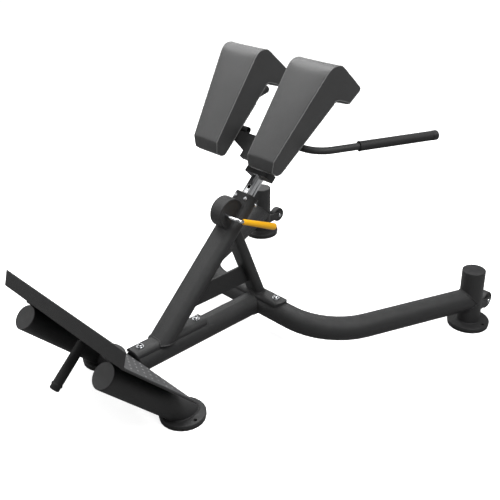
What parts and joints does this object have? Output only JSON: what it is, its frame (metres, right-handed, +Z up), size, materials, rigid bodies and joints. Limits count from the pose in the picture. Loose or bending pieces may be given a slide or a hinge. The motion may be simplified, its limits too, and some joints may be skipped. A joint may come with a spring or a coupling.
{
  "type": "hyperextension bench",
  "caption": "Back extension bench with a slanted foot platform, a leaning post with a sliding, lever-locked carriage, two thigh pads and two swept handles.",
  "frame": {"origin": "on the floor, under the middle of the bench's bounding box", "axes": "+X from the foot platform towards the rear feet, +Y away from the lock lever's side, +Z up"},
  "size_m": [1.435, 1.13, 0.9198],
  "materials": {
    "black_coat": "satin powder coat",
    "black_plastic": "matte",
    "black_rubber": "matte",
    "tread_sheet": "pimpled",
    "zinc_steel": "bright zinc",
    "chrome": "polished",
    "vinyl": "fine grain vinyl",
    "plywood": "black-stained",
    "yellow_grip": "satin"
  },
  "bodies": {
    "base_frame": {"main_beam": "black_coat", "rear_cross_tube": "black_coat", "rear_post_near": "black_coat", "rear_post_far": "black_coat", "foot_flange_front_near": "black_coat", "foot_flange_front_far": "black_coat", "foot_flange_rear_near": "black_coat", "foot_flange_rear_far": "black_coat", "front_leg_near": "black_coat", "front_leg_far": "black_coat", "front_cross_tube": "black_coat", "foot_platform": "black_coat", "lift_handle_tube": "black_coat", "main_post": "black_coat", "post_saddle": "black_coat", "brace_tube": "black_coat", "brace_saddle": "black_coat", "tie_bar": "black_coat", "lock_housing": "black_coat", "wheel_bracket_near": "black_coat", "wheel_bracket_far": "black_coat", "rear_post_cap_near": "black_plastic", "rear_post_cap_far": "black_plastic", "front_leg_cap_near": "black_plastic", "front_leg_cap_far": "black_plastic", "beam_end_cap": "black_plastic", "guide_sleeve": "black_plastic", "foot_pad_front_near": "black_rubber", "foot_pad_front_far": "black_rubber", "foot_pad_rear_near": "black_rubber", "foot_pad_rear_far": "black_rubber", "lift_handle_grip": "black_rubber", "platform_tread": "tread_sheet", "post_saddle_bolt_front": "zinc_steel", "post_saddle_bolt_rear": "zinc_steel", "brace_saddle_bolt_near": "zinc_steel", "brace_saddle_bolt_far": "zinc_steel", "guide_bolt_front_near": "zinc_steel", "guide_bolt_front_far": "zinc_steel", "guide_bolt_side_near": "zinc_steel", "wheel_axle_near": "zinc_steel", "wheel_axle_far": "zinc_steel"},
    "carriage": {"inner_post": "chrome", "pad_yoke": "black_coat", "pad_board_near": "plywood", "pad_board_far": "plywood", "thigh_pad_near": "vinyl", "thigh_pad_far": "vinyl", "handle_bar_near": "black_coat", "handle_bar_far": "black_coat", "handle_grip_near": "black_rubber", "handle_grip_far": "black_rubber", "handle_cap_near": "black_plastic", "handle_cap_far": "black_plastic"},
    "lock_lever": {"lever_rod": "chrome", "lever_grip": "yellow_grip", "lock_crank": "zinc_steel"},
    "locking_pin": {"lock_pin": "chrome"},
    "near_wheel": {"wheel_near": "black_rubber"},
    "far_wheel": {"wheel_far": "black_rubber"}
  },
  "joints": [
    {"name": "carriage_slide", "type": "slide", "parent": "base_frame", "child": "carriage", "axis": [0.7071, 0, 0.7071], "range_m": [-0.0636, 0.0954]},
    {"name": "lever_turn", "type": "hinge", "parent": "base_frame", "child": "lock_lever", "pos_m": [-0.07755, 0, 0.46598], "axis": [0, -1, 0], "range_deg": [-20.05, 12]},
    {"name": "pin_slide", "type": "slide", "parent": "base_frame", "child": "locking_pin", "axis": [-0.7071, 0, 0.7071], "range_m": [-0.009, 0.0054]},
    {"name": "wheel_spin_near", "type": "hinge", "parent": "base_frame", "child": "near_wheel", "pos_m": [0.68748, -0.496, 0.055], "axis": [0, 1, 0], "continuous": true},
    {"name": "wheel_spin_far", "type": "hinge", "parent": "base_frame", "child": "far_wheel", "pos_m": [0.68748, 0.496, 0.055], "axis": [0, 1, 0], "continuous": true}
  ],
  "couplings": [
    {"joint": "pin_slide", "follows": "lever_turn", "m_per_rad": 0.0257}
  ]
}
